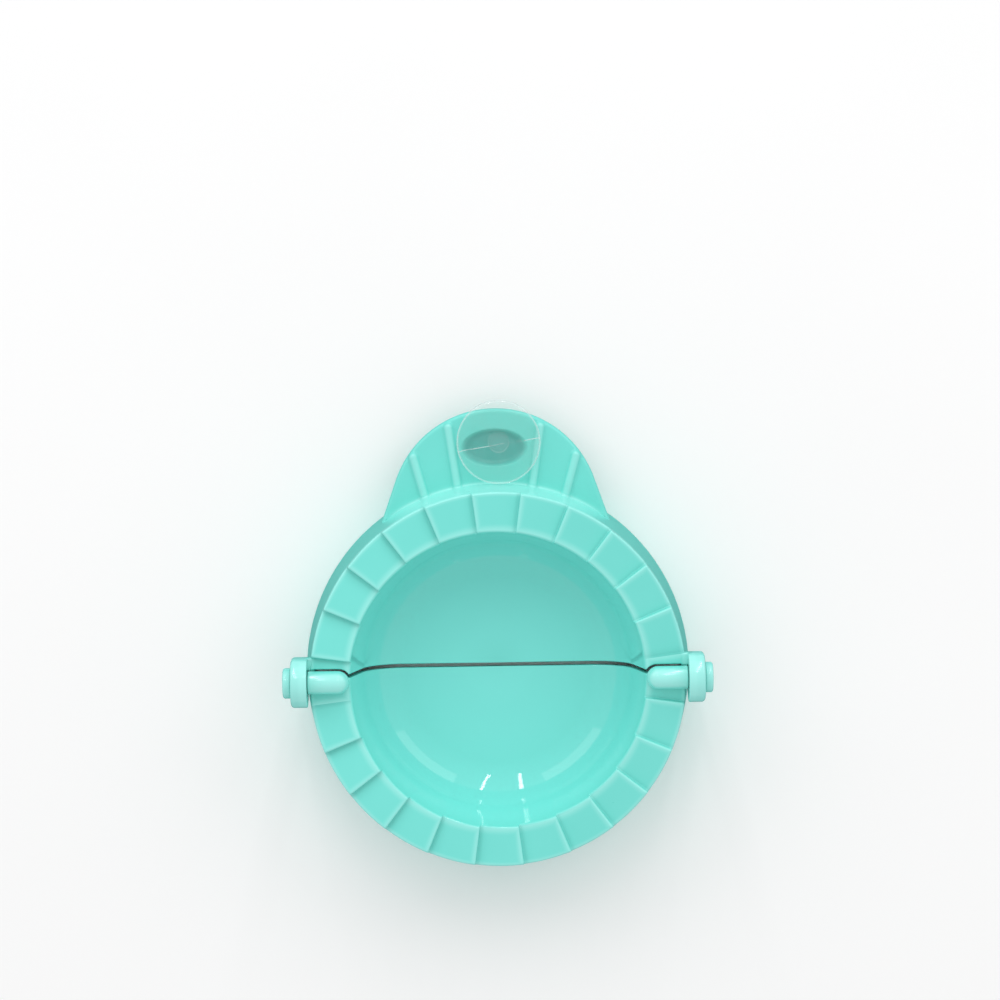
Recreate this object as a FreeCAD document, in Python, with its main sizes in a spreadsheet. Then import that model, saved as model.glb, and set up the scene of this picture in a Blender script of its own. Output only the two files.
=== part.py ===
import FreeCAD, Part
import math
import os
import re
import Sketcher

# Folding ravioli mould, lying open and flat. Millimetres and degrees.
# In each half's own frame the hinge axis is X, the half reaches towards +Y and its bowl opens towards +Z.
SIZES = {
    # bowl, ring and cutter skirt
    "ring_radius": 42.0,
    "bowl_radius": 33.2,
    "bowl_depth": 18.5,
    "bowl_draft": 14.0,
    "bowl_corner": 10.0,
    "wall": 1.8,
    "ring_wall": 2.8,
    "skirt_height": 21.5,
    "skirt_flare": 1.8,
    # crimping teeth, sized at the ring's outer edge
    "tooth_count": 24,
    "tooth_step": 1.55,
    "tooth_wall_angle": 76.0,
    "tooth_round": 0.35,
    "tooth_lead": 0.3,
    "face_clearance": 0.3,
    # split between the halves, which lies a little past the hinge axis
    "split_offset": 1.325,
    "split_gap": 0.85,
    # hinge
    "barrel_length": 9.2,
    "barrel_overhang": 0.4,
    "barrel_radius": 2.6,
    "barrel_clearance": 0.3,
    "eye_radius": 5.5,
    "eye_thick": 3.5,
    "eye_clearance": 0.3,
    "eye_round": 0.8,
    "web_drop": 1.0,
    "pin_radius": 1.6,
    "pin_depth": 6.2,
    "pin_bottom_clearance": 0.3,
    "pin_press_clearance": 0.01,
    "pin_running_clearance": 0.05,
    "pin_end_clearance": 0.1,
    "head_radius": 3.4,
    "head_thick": 1.7,
    "head_round": 0.6,
    # finger tab
    "tab_drop": 12.5,
    "tab_thick": 2.4,
    "tab_inset": 5.6,
    "tab_radius": 23.75,
    "tab_slant": 19.5,
    "tab_round": 0.9,
    "rib_width": 2.3,
    "rib_height": 0.9,
    "rib_focus": 17.0,
    "inner_rib_angle": 8.1,
    "inner_rib_reach": 15.1,
    "outer_rib_angle": 15.5,
    "outer_rib_reach": 8.5,
    "recess_reach": 9.3,
    "recess_length": 15.0,
    "recess_width": 8.6,
    "recess_depth": 1.3,
    # clear stud
    "stud_reach": 10.6,
    "stud_shift": 0.95,
    "stud_radius": 9.5,
    "stud_thick": 1.0,
    "stud_dome": 0.5,
    "stud_seat_clearance": 0.05,
    "stem_radius": 2.2,
    "stem_clearance": 0.1,
    "stem_tail": 0.8,
    "clip_radius": 4.2,
    "clip_thick": 1.2,
    "clip_press_clearance": 0.01,
}

LEVEL_TOLERANCE = 1e-4
CUTS = ("PartDesign::Pocket", "PartDesign::SubtractiveEllipsoid", "PartDesign::PolarPattern")

# Places that follow from the sizes.
HALF_PITCH = "(180/tooth_count)"
FIRST_TOOTH = f"({HALF_PITCH} + tooth_lead)"
LAND_END = f"({HALF_PITCH} - tooth_lead)"
FLOOR_RADIUS = ("(bowl_radius - (bowl_depth - bowl_corner*(1 - sin(bowl_draft)))*tan(bowl_draft)"
                " - bowl_corner*cos(bowl_draft))")
FLARE_RATE = "(skirt_flare/skirt_height)"
SKIRT_RADIUS = "(ring_radius + skirt_flare)"
BARREL_END = "(ring_radius + barrel_overhang)"
BARREL_TIP = f"({BARREL_END} - barrel_length)"
BARREL_CENTRE = f"({BARREL_TIP} + barrel_radius)"
RELIEF_RADIUS = "(barrel_radius + barrel_clearance)"
EYE_FACE = f"({BARREL_END} + eye_clearance)"
EYE_END = f"({EYE_FACE} + eye_thick)"
HEAD_FACE = f"({EYE_END} + pin_end_clearance)"
TAB_CENTRE = "(ring_radius - tab_inset)"
TAB_SIDE = "(tab_radius*cos(tab_slant))"
TAB_SHOULDER = f"({TAB_CENTRE} + tab_radius*sin(tab_slant))"
TAB_WALL = f"(ring_radius + tab_drop*{FLARE_RATE} - wall/2)"
RECESS_PLACE = "(ring_radius + recess_reach)"
STUD_PLACE = "(ring_radius + stud_reach)"
STUD_SEAT = "(rib_height + stud_seat_clearance - tab_drop)"
CENTRE_SHIFT = f"(({SKIRT_RADIUS} - {STUD_PLACE} - stud_radius)/2)"

doc = FreeCAD.newDocument("RavioliMould")
sheet = doc.addObject("Spreadsheet::Sheet", "Sizes")
for row, (alias, size) in enumerate(SIZES.items(), start=1):
    sheet.set(f"A{row}", alias)
    sheet.set(f"B{row}", str(size))
    sheet.setAlias(f"B{row}", alias)
doc.recompute()


def formula(text):
    """Refer each size named in an expression to its cell."""
    return re.sub(r"[a-z_]+", lambda word: f"Sizes.{word[0]}" if word[0] in SIZES else word[0], text)


def value(text):
    """Work out an expression of sizes as a plain number."""
    result = sheet.evalExpression(text)
    return float(getattr(result, "Value", result))


def bind(item, **properties):
    """Tie properties to expressions of sizes. A double underscore in a name stands for a dot."""
    for name, text in properties.items():
        item.setExpression(name.replace("__", "."), formula(text))


def origin_feature(body, role):
    return next(feature for feature in body.Origin.OriginFeatures if feature.Role == role)


def new_sketch(body, name, plane, lift="0"):
    """Add a sketch on one of the body's own planes, lifted along the plane's normal."""
    sketch = body.newObject("Sketcher::SketchObject", name)
    sketch.AttachmentSupport = [(origin_feature(body, plane), "")]
    sketch.MapMode = "FlatFace"
    bind(sketch, AttachmentOffset__Base__z=lift)
    return sketch


def arc_between(start, end, radius):
    """Arc of under a half circle. A positive radius turns left and a negative one right."""
    chord = end - start
    rise = math.sqrt(max(radius ** 2 - chord.Length ** 2 / 4, 0))
    side = FreeCAD.Vector(-chord.y, chord.x, 0).normalize() * math.copysign(rise, radius)
    centre = (start + end) / 2 + side
    first, last = (start, end) if radius > 0 else (end, start)
    turn = [math.atan2(point.y - centre.y, point.x - centre.x) for point in (first, last)]
    circle = Part.Circle(centre, FreeCAD.Vector(0, 0, 1), abs(radius))
    return Part.ArcOfCircle(circle, turn[0], turn[1])


def draw_outline(sketch, corners):
    """Draw a closed outline. A corner is (x, y), or (x, y, radius) where an arc leaves it."""
    points = [FreeCAD.Vector(value(corner[0]), value(corner[1]), 0) for corner in corners]
    ends = []
    for index, corner in enumerate(corners):
        start, end = points[index], points[(index + 1) % len(points)]
        if len(corner) == 2:
            sketch.addGeometry(Part.LineSegment(start, end))
            ends.append((1, 2))
            continue
        radius = value(corner[2])
        sketch.addGeometry(arc_between(start, end, radius))
        ends.append((1, 2) if radius > 0 else (2, 1))
        size = sketch.addConstraint(Sketcher.Constraint("Radius", index, abs(radius)))
        bind(sketch, **{f"Constraints[{size}]": f"abs({corner[2]})"})
    for index, corner in enumerate(corners):
        after = (index + 1) % len(corners)
        sketch.addConstraint(Sketcher.Constraint("Coincident", index, ends[index][1], after, ends[after][0]))
        for text, kind, axis in ((corner[0], "DistanceX", -2), (corner[1], "DistanceY", -1)):
            if text == "0":
                sketch.addConstraint(Sketcher.Constraint("PointOnObject", index, ends[index][0], axis))
                continue
            place = Sketcher.Constraint(kind, index, ends[index][0], value(text))
            bind(sketch, **{f"Constraints[{sketch.addConstraint(place)}]": text})


def draw_circle(sketch, radius):
    """Draw a circle about the sketch's origin."""
    sketch.addGeometry(Part.Circle(FreeCAD.Vector(0, 0, 0), FreeCAD.Vector(0, 0, 1), value(radius)))
    sketch.addConstraint(Sketcher.Constraint("Coincident", 0, 3, -1, 1))
    size = sketch.addConstraint(Sketcher.Constraint("Radius", 0, value(radius)))
    bind(sketch, **{f"Constraints[{size}]": radius})


def pad(body, name, sketch, length):
    feature = body.newObject("PartDesign::Pad", name)
    feature.Profile = sketch
    bind(feature, Length=length)
    return feature


def pocket(body, name, sketch, length=None):
    """Cut against the sketch's normal by a length, or right through both ways."""
    feature = body.newObject("PartDesign::Pocket", name)
    feature.Profile = sketch
    if length is None:
        feature.Type = "ThroughAll"
        feature.Midplane = True
    else:
        bind(feature, Length=length)
    return feature


def revolve(body, name, sketch, axis):
    feature = body.newObject("PartDesign::Revolution", name)
    feature.Profile = sketch
    feature.ReferenceAxis = (sketch, [axis])
    feature.Angle = 360
    return feature


def mirror_across_hinge(body, name, features):
    """Repeat features on the other side of the YZ plane."""
    feature = body.newObject("PartDesign::Mirrored", name)
    feature.Originals = features
    feature.MirrorPlane = (origin_feature(body, "YZ_Plane"), [""])
    body.Tip = feature
    return feature


def round_edges(body, name, radius, wanted):
    """Fillet the edges of the body so far that the test picks."""
    doc.recompute()
    base = body.Tip
    names = [f"Edge{number}" for number, edge in enumerate(base.Shape.Edges, start=1) if wanted(edge)]
    feature = body.newObject("PartDesign::Fillet", name)
    feature.Base = (base, names)
    bind(feature, Radius=radius)
    return feature


def new_body(name, lift="0", reach="0", shift="0", turn=0):
    """Start a sub-part. Its own frame sits on the hinge axis, raised, moved out and shifted along the axis."""
    body = doc.addObject("PartDesign::Body", name)
    body.Label = name
    body.Placement = FreeCAD.Placement(FreeCAD.Vector(), FreeCAD.Rotation(FreeCAD.Vector(0, 0, 1), turn))
    bind(body, Placement__Base__x=shift, Placement__Base__y=f"{CENTRE_SHIFT} + {reach}",
         Placement__Base__z=f"skirt_height + {lift}")
    return body


def shell_section():
    """Half section of bowl, ring and skirt in the XZ plane, with a blank on top for the teeth."""
    bowl_inside = f"{FLOOR_RADIUS} + bowl_corner*cos(bowl_draft)"
    bowl_inside_drop = "-(bowl_depth - bowl_corner + bowl_corner*sin(bowl_draft))"
    bowl_outside = f"{FLOOR_RADIUS} + (bowl_corner + wall)*cos(bowl_draft)"
    bowl_outside_drop = "-(bowl_depth - bowl_corner + (bowl_corner + wall)*sin(bowl_draft))"
    under_ring = f"{bowl_outside} - (ring_wall + {bowl_outside_drop})*tan(bowl_draft)"
    return [
        ("0", "-(bowl_depth + wall)"),
        (FLOOR_RADIUS, "-(bowl_depth + wall)", "bowl_corner + wall"),
        (bowl_outside, bowl_outside_drop),
        (under_ring, "-ring_wall"),
        (f"ring_radius - wall + ring_wall*{FLARE_RATE}", "-ring_wall"),
        (f"{SKIRT_RADIUS} - wall", "-skirt_height"),
        (SKIRT_RADIUS, "-skirt_height"),
        (f"ring_radius - tooth_step*{FLARE_RATE}", "tooth_step"),
        ("bowl_radius + tooth_step*tan(bowl_draft)", "tooth_step"),
        (bowl_inside, bowl_inside_drop, "-bowl_corner"),
        (FLOOR_RADIUS, "-bowl_depth"),
        ("0", "-bowl_depth"),
    ]


# One tooth boundary: a facet climbs to its rounded crest, drops down a steep wall and the next facet starts.
FACET_ANGLE = f"(atan(tooth_step/(2*ring_radius*tan({HALF_PITCH})))/1deg)"
WALL_RUN = f"(tooth_step/2/(tan(tooth_wall_angle) + tan({FACET_ANGLE})))"
ROUND_LENGTH = f"(tooth_round*tan((tooth_wall_angle + {FACET_ANGLE})/2))"


def tooth_space(radius):
    """Section of the air above one tooth boundary, square to the ring's radius and in scale with it."""
    scale = f"({radius})/ring_radius"
    side = f"({radius})*tan({HALF_PITCH})"
    top = "2*tooth_step"
    crest_rise = f"{WALL_RUN}*tan(tooth_wall_angle)"
    facet_x = f"({WALL_RUN} + {ROUND_LENGTH}*cos({FACET_ANGLE}))*{scale}"
    facet_y = f"({crest_rise} - {ROUND_LENGTH}*sin({FACET_ANGLE}))*{scale}"
    wall_x = f"({WALL_RUN} - {ROUND_LENGTH}*cos(tooth_wall_angle))*{scale}"
    wall_y = f"({crest_rise} - {ROUND_LENGTH}*sin(tooth_wall_angle))*{scale}"
    return [
        (f"-{side}", "-face_clearance"),
        (f"-{facet_x}", f"{facet_y} - face_clearance", f"-tooth_round*{scale}"),
        (f"-{wall_x}", f"{wall_y} - face_clearance"),
        (wall_x, f"-{wall_y} - face_clearance", f"tooth_round*{scale}"),
        (facet_x, f"-{facet_y} - face_clearance"),
        (side, "-face_clearance"),
        (side, top),
        (f"-{side}", top),
    ]


def cut_teeth(body):
    """Cut the sawtooth ring: one tooth boundary, repeated from just before the half to just past it."""
    sketches = []
    for name, radius in (("tooth_inside", "bowl_radius - wall"), ("tooth_outside", "ring_radius + wall")):
        sketch = new_sketch(body, name, "YZ_Plane", f"({radius})*cos({FIRST_TOOTH})")
        sketch.AttachmentOffset.Rotation = FreeCAD.Rotation(FreeCAD.Vector(0, -1, 0), value(FIRST_TOOTH))
        bind(sketch, AttachmentOffset__Base__x=f"-({radius})*sin({FIRST_TOOTH})",
             AttachmentOffset__Rotation__Angle=FIRST_TOOTH)
        draw_outline(sketch, tooth_space(radius))
        sketches.append(sketch)
    space = body.newObject("PartDesign::SubtractiveLoft", "tooth_space")
    space.Profile = sketches[0]
    space.Sections = sketches[1:]
    space.Ruled = True
    pattern = body.newObject("PartDesign::PolarPattern", "teeth")
    pattern.Originals = [space]
    pattern.Axis = (origin_feature(body, "Z_Axis"), [""])
    bind(pattern, Angle=f"180 + 2*{HALF_PITCH}", Occurrences="tooth_count/2 + 2")
    body.Tip = pattern


def cut_land(body):
    """Flatten the first half facet beside the hinge to the low end of the next one."""
    corners = []
    for radius in ("(bowl_radius - wall)", "(ring_radius + wall)"):
        slip = f"({WALL_RUN} + {ROUND_LENGTH})*{radius}/ring_radius"
        corners.append((f"{radius}*cos({LAND_END}) - {slip}*sin({LAND_END})",
                        f"{radius}*sin({LAND_END}) + {slip}*cos({LAND_END})"))
    sketch = new_sketch(body, "land_outline", "XY_Plane", "tooth_step")
    draw_outline(sketch, [corners[0], (corners[0][0], "-tooth_step"), (corners[1][0], "-tooth_step"), corners[1]])
    return pocket(body, "land", sketch, "1.5*tooth_step + face_clearance")


def half_shell(body, edge):
    """Half of bowl, ring and skirt with its teeth, kept from the given distance past the hinge axis."""
    section = new_sketch(body, "shell_section", "XZ_Plane")
    draw_outline(section, shell_section())
    revolve(body, "shell", section, "V_Axis")
    split = new_sketch(body, "split_outline", "XY_Plane")
    draw_outline(split, [("-2*ring_radius", "-2*ring_radius"), ("2*ring_radius", "-2*ring_radius"),
                         ("2*ring_radius", edge), ("-2*ring_radius", edge)])
    pocket(body, "split", split)
    cut_teeth(body)
    cut_land(body)


def eye_edge(edge):
    """Whether an edge is on the outline of an eye's outer end."""
    at_end = all(abs(abs(vertex.X) - value(EYE_END)) < LEVEL_TOLERANCE for vertex in edge.Vertexes)
    reach = max(math.hypot(vertex.Y, vertex.Z) for vertex in edge.Vertexes)
    return at_end and reach > value("eye_radius") - LEVEL_TOLERANCE


def hinge_eyes(body):
    """Relieve the half round the barrels, then add the eyes that carry the pins."""
    relief_outline = new_sketch(body, "relief_outline", "XY_Plane")
    draw_outline(relief_outline, [
        (BARREL_CENTRE, RELIEF_RADIUS, RELIEF_RADIUS),
        (f"{BARREL_CENTRE} - {RELIEF_RADIUS}", "0", RELIEF_RADIUS),
        (BARREL_CENTRE, f"-{RELIEF_RADIUS}"),
        ("2*ring_radius", f"-{RELIEF_RADIUS}"),
        ("2*ring_radius", RELIEF_RADIUS),
    ])
    relief = pocket(body, "relief", relief_outline)
    lug = f"(eye_radius - {RELIEF_RADIUS})"
    eye_outline = new_sketch(body, "eye_outline", "YZ_Plane", EYE_FACE)
    draw_outline(eye_outline, [
        ("eye_radius", "0", "eye_radius"),
        ("0", "eye_radius", "eye_radius"),
        ("-eye_radius", "0", "eye_radius"),
        ("0", "-eye_radius"),
        (RELIEF_RADIUS, "-eye_radius", lug),
        ("eye_radius", f"-{RELIEF_RADIUS}"),
    ])
    eye = pad(body, "eye", eye_outline, "eye_thick")
    web_start = "(ring_radius - wall/2)"
    web_outline = new_sketch(body, "web_outline", "YZ_Plane", web_start)
    draw_outline(web_outline, [
        (RELIEF_RADIUS, "-eye_radius", lug),
        ("eye_radius", f"-{RELIEF_RADIUS}"),
        ("eye_radius", "-web_drop"),
        (RELIEF_RADIUS, "-web_drop"),
    ])
    web = pad(body, "web", web_outline, f"{EYE_END} - {web_start}")
    bore_outline = new_sketch(body, "bore_outline", "YZ_Plane", EYE_END)
    draw_circle(bore_outline, "pin_radius + pin_running_clearance")
    bore = pocket(body, "bore", bore_outline, "eye_thick")
    mirror_across_hinge(body, "hinge_pair", [relief, eye, web, bore])
    round_edges(body, "eye_edge", "eye_round", eye_edge)


def tab_edge(edge):
    """Whether an edge is on the tab's free outline, on its top or bottom face."""
    level = edge.Vertexes[0].Z
    flat = all(abs(vertex.Z - level) < LEVEL_TOLERANCE for vertex in edge.Vertexes)
    return flat and edge.BoundBox.YMax > value(TAB_CENTRE) - LEVEL_TOLERANCE


def finger_tab(body):
    """Flat tab with a round end, sides that spread towards its root and rounded edges."""
    root = f"({TAB_CENTRE} - 4*wall)"
    root_side = f"({TAB_SIDE} + ({TAB_SHOULDER} - {root})*tan(tab_slant))"
    outline = new_sketch(body, "tab_outline", "XY_Plane", "-tab_drop - tab_thick")
    draw_outline(outline, [
        (root_side, root),
        (TAB_SIDE, TAB_SHOULDER, "tab_radius"),
        ("0", f"{TAB_CENTRE} + tab_radius", "tab_radius"),
        (f"-{TAB_SIDE}", TAB_SHOULDER),
        (f"-{root_side}", root),
    ])
    pad(body, "tab", outline, "tab_thick")
    round_edges(body, "tab_edge", "tab_round", tab_edge)


def trim_tab(body):
    """Cut away what reaches inside the skirt's wall."""
    outline = new_sketch(body, "trim_outline", "XY_Plane")
    draw_circle(outline, TAB_WALL)
    pocket(body, "trim", outline)


def tab_ribs(body):
    """Rounded ribs that fan out from the skirt over the tab, a long and a short one on each side."""
    radius = "((rib_height^2 + rib_width^2/4)/(2*rib_height))"
    ribs = []
    for name, angle, reach in (("inner_rib", "inner_rib_angle", "inner_rib_reach"),
                               ("outer_rib", "outer_rib_angle", "outer_rib_reach")):
        start = f"(rib_focus*cos({angle}) + sqrt({TAB_WALL}^2 - (rib_focus*sin({angle}))^2))"
        end = f"((rib_focus + ring_radius + {reach})/cos({angle}) - rib_width/2)"
        sketch = new_sketch(body, f"{name}_outline", "XY_Plane", f"rib_height - {radius} - tab_drop")
        sketch.AttachmentOffset.Rotation = FreeCAD.Rotation(FreeCAD.Vector(0, 0, -1), value(angle))
        bind(sketch, AttachmentOffset__Base__y="-rib_focus", AttachmentOffset__Rotation__Angle=angle)
        draw_outline(sketch, [("0", start), (radius, start), (radius, end, radius), ("0", f"{end} + {radius}")])
        ribs.append(revolve(body, name, sketch, "V_Axis"))
    mirror_across_hinge(body, "rib_pair", ribs)


def thumb_recess(body):
    """Oval hollow in the tab, with the hole for the stud's stem in it."""
    half_length, half_width = "recess_length/2", "recess_width/2"
    depth = "recess_depth"
    hollow = body.newObject("PartDesign::SubtractiveEllipsoid", "recess")
    hollow.AttachmentSupport = [(origin_feature(body, "XY_Plane"), "")]
    hollow.MapMode = "FlatFace"
    bind(hollow, AttachmentOffset__Base__y=RECESS_PLACE, AttachmentOffset__Base__z="-tab_drop",
         Radius1=depth, Radius2=half_length, Radius3=half_width)
    hole_outline = new_sketch(body, "stem_hole_outline", "XY_Plane", "-tab_drop")
    bind(hole_outline, AttachmentOffset__Base__x="stud_shift", AttachmentOffset__Base__y=STUD_PLACE)
    draw_circle(hole_outline, "stem_radius + stem_clearance")
    pocket(body, "stem_hole", hole_outline, "tab_thick")


def hinge_barrels(body):
    """Round-ended barrels on the hinge axis, each with a blind hole for its pin."""
    outline = new_sketch(body, "barrel_outline", "XY_Plane")
    draw_outline(outline, [(BARREL_TIP, "0"), (BARREL_END, "0"), (BARREL_END, "barrel_radius"),
                           (BARREL_CENTRE, "barrel_radius", "barrel_radius")])
    barrel = revolve(body, "barrel", outline, "H_Axis")
    hole_outline = new_sketch(body, "pin_hole_outline", "YZ_Plane", BARREL_END)
    draw_circle(hole_outline, "pin_radius + pin_press_clearance")
    hole = pocket(body, "pin_hole", hole_outline, "pin_depth + pin_bottom_clearance")
    mirror_across_hinge(body, "barrel_pair", [barrel, hole])


def half_with_handle():
    body = new_body("handle_half")
    finger_tab(body)
    tab_ribs(body)
    thumb_recess(body)
    trim_tab(body)
    half_shell(body, "split_offset + split_gap/2")
    hinge_eyes(body)
    return body


def half_without_handle():
    body = new_body("plain_half", turn=180)
    half_shell(body, "split_gap/2 - split_offset")
    hinge_barrels(body)
    return body


def hinge_pin(name, turn):
    """Headed pin, pressed into a barrel and free in the eye."""
    body = new_body(name, turn=turn)
    outline = new_sketch(body, "pin_outline", "XY_Plane")
    head_end = f"{HEAD_FACE} + head_thick"
    tip = f"{BARREL_END} - pin_depth"
    draw_outline(outline, [
        (tip, "0"),
        (head_end, "0"),
        (head_end, "head_radius - head_round", "-head_round"),
        (f"{head_end} - head_round", "head_radius"),
        (HEAD_FACE, "head_radius"),
        (HEAD_FACE, "pin_radius"),
        (tip, "pin_radius"),
    ])
    revolve(body, "pin", outline, "H_Axis")
    return body


def clear_stud():
    """Clear domed disc on a stem, seated on the ribs with its stem through the tab."""
    body = new_body("clear_stud", lift=STUD_SEAT, reach=STUD_PLACE, shift="stud_shift")
    stem_end = f"-({STUD_SEAT} + tab_drop + tab_thick + clip_thick + stem_tail)"
    outline = new_sketch(body, "stud_outline", "XZ_Plane")
    dome_radius = "((stud_radius^2 + stud_dome^2)/(2*stud_dome))"
    draw_outline(outline, [
        ("0", stem_end),
        ("stem_radius", stem_end),
        ("stem_radius", "0"),
        ("stud_radius", "0"),
        ("stud_radius", "stud_thick", dome_radius),
        ("0", "stud_thick + stud_dome"),
    ])
    revolve(body, "stud", outline, "V_Axis")
    return body


def stud_clip():
    """Push-on washer that holds the stud from behind the tab."""
    body = new_body("stud_clip", lift="-(tab_drop + tab_thick)", reach=STUD_PLACE, shift="stud_shift")
    hole = "stem_radius + clip_press_clearance"
    outline = new_sketch(body, "clip_outline", "XZ_Plane")
    draw_outline(outline, [(hole, "-clip_thick"), ("clip_radius", "-clip_thick"), ("clip_radius", "0"), (hole, "0")])
    revolve(body, "clip", outline, "V_Axis")
    return body


def check_document():
    """Stop if any object failed to build, or if a cut removed nothing."""
    doc.recompute()
    for item in doc.Objects:
        if {"Invalid", "Error"} & set(item.State):
            raise RuntimeError(f"{item.Name} failed: {item.State}")
        if item.TypeId in CUTS and item.Shape.Volume > item.BaseFeature.Shape.Volume - LEVEL_TOLERANCE:
            raise RuntimeError(f"{item.Name} cuts nothing")


sub_parts = [half_with_handle(), half_without_handle(), hinge_pin("left_hinge_pin", 180),
             hinge_pin("right_hinge_pin", 0), clear_stud(), stud_clip()]
check_document()
os.makedirs("parts", exist_ok=True)
for sub_part in sub_parts:
    shape = sub_part.Shape
    if shape.isNull() or not shape.isValid():
        raise RuntimeError(f"{sub_part.Label} has no valid shape")
for sub_part in sub_parts:
    sub_part.Shape.exportStep(f"parts/{sub_part.Label}.step")
    print(sub_part.Label, len(sub_part.Shape.Solids), round(sub_part.Shape.Volume, 1), sub_part.Shape.BoundBox)
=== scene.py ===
import math

import bmesh
import bpy
from mathutils import Matrix, Vector
from mathutils.geometry import delaunay_2d_cdt


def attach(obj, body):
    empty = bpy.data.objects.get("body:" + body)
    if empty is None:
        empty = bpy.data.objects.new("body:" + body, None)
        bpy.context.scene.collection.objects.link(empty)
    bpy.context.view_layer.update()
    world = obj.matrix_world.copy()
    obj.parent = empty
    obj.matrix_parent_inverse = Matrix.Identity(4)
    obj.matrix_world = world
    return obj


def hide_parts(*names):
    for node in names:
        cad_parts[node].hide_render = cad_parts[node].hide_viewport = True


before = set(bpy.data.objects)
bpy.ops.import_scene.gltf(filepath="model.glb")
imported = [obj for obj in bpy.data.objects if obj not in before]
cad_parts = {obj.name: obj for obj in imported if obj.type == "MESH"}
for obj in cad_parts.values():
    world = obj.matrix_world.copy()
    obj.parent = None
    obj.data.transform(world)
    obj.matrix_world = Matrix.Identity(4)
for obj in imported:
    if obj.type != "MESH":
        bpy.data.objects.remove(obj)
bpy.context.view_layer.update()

# Sizes of the mould, in millimetres. Each half is drawn in its own frame: the hinge axis is X, the half
# reaches towards +Y and its bowl opens towards +Z.
MM = 0.001
HINGE = Vector((0.0, -9.15, 21.5))

# Bowl, ring and skirt
RING = 42.0
BOWL = 33.2
DEPTH = 18.5
DRAFT = math.radians(14.0)
LEAN = math.tan(DRAFT)
CORNER = 10.0
WALL = 1.8
RING_WALL = 2.8
SKIRT = 21.5
FLARE = 1.8
FLARE_RATE = FLARE / SKIRT
RIM_ROUND, RIM_REACH = 0.6, 0.47
RING_ROUND, RING_REACH = 0.48, 0.45
SKIRT_ROUND = 0.4
HANDLE_SPLIT, PLAIN_SPLIT = 1.75, -0.9
SPLIT_ROUND = 0.28
SHELL_WELD, PLATE_WELD = 0.004, 0.003

# Crimping teeth
TEETH = 24
HALF_PITCH = math.pi / TEETH
STEP = 1.55
TOOTH_SLOPE = math.radians(84.0)
TOOTH_ROUND = 0.4
TOOTH_LEAD = math.radians(0.3)
TOOTH_FOOT = -2.4
FACE_DROP = 0.3

# Hinge, with its lengths measured from the middle of the hinge
BARREL_TIP, BARREL_END = 33.2, 42.48
BARREL_RADIUS, BARREL_BRIM = 2.6, 0.3
BARREL_CENTRE = BARREL_TIP + BARREL_RADIUS
RELIEF = 2.9
PIN_TIP, PIN_HEAD, PIN_END = 36.2, 46.3, 48.0
PIN_RADIUS, HEAD_RADIUS = 1.6, 3.4
PIN_ROOM = 0.3
EYE_FACE, EYE_END = 42.52, 46.2
EYE_RADIUS, EYE_BORE = 5.5, 1.65
WEB_DROP = 1.0

# Finger tab with its ribs and oval recess
TAB_DROP, TAB_THICK, TAB_ROUND, TAB_FILLET = 12.5, 2.4, 0.9, 0.8
TAB_CENTRE, TAB_RADIUS, TAB_SLANT = 36.4, 23.75, math.radians(19.5)
RIB_WIDTH, RIB_HEIGHT, RIB_FOCUS = 2.3, 0.9, 17.0
RIB_RADIUS = (RIB_HEIGHT ** 2 + RIB_WIDTH ** 2 / 4) / (2 * RIB_HEIGHT)
RIBS = ((math.radians(8.1), 57.1), (math.radians(15.5), 50.5))
RECESS_PLACE, RECESS_DEPTH = 51.3, 1.3
RECESS_LENGTH, RECESS_WIDTH = 15.0, 8.6

# Clear stud
STUD_GAP = 0.05
STUD_PLACE = Vector((0.95, 52.6, RIB_HEIGHT + STUD_GAP - TAB_DROP))
STUD_RADIUS, STUD_THICK, STUD_DOME = 9.5, 1.0, 0.5
STEM_RADIUS, STEM_LENGTH = 2.2, 5.35

# Colours
MINT_DEEP = (0.16, 0.71, 0.635, 1.0)
MINT_PALE = (0.185, 0.76, 0.685, 1.0)
# Painted shade for the foot of each tooth, the oval under the stud and the tab
MINT_PAINTED_SHADE = (0.06, 0.42, 0.38, 1.0)
# Painted light that makes the bowl paler
MINT_BOWL_PAINTED_LIGHT = (0.205, 0.785, 0.72, 1.0)
# Painted highlights on the ring's edges, tooth crests, rib tops, the hinge and the skirt's wall
MINT_PAINTED_HIGHLIGHT = (0.46, 0.93, 0.88, 1.0)
CLEAR_HAZE = (0.9, 0.95, 0.95, 1.0)
CLEAR_STEM = (0.5, 0.62, 0.61, 1.0)
CLEAR_TINT = (0.96, 0.985, 0.98, 1.0)
FLOOR_PALE = (0.93, 0.93, 0.93, 1.0)
FLOOR_WHITE = (0.96, 0.96, 0.96, 1.0)
FLOOR_MIRRORED = (0.08, 0.12, 0.12, 1.0)
SKY_COLOUR, SKY_STRENGTH = (1.0, 1.0, 1.0, 1.0), 0.78


class Wire:
    """One output of a node. Arithmetic on it adds Math nodes to its tree."""

    def __init__(self, graph, socket):
        self.graph = graph
        self.socket = socket

    def also(self, name):
        """Another output of the same node."""
        return Wire(self.graph, self.socket.node.outputs[name])

    def __add__(self, other):
        return self.graph.math("ADD", self, other)

    def __sub__(self, other):
        return self.graph.math("SUBTRACT", self, other)

    def __rsub__(self, other):
        return self.graph.math("SUBTRACT", other, self)

    def __mul__(self, other):
        return self.graph.math("MULTIPLY", self, other)

    def __truediv__(self, other):
        return self.graph.math("DIVIDE", self, other)

    def __rtruediv__(self, other):
        return self.graph.math("DIVIDE", other, self)

    __radd__ = __add__
    __rmul__ = __mul__


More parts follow.
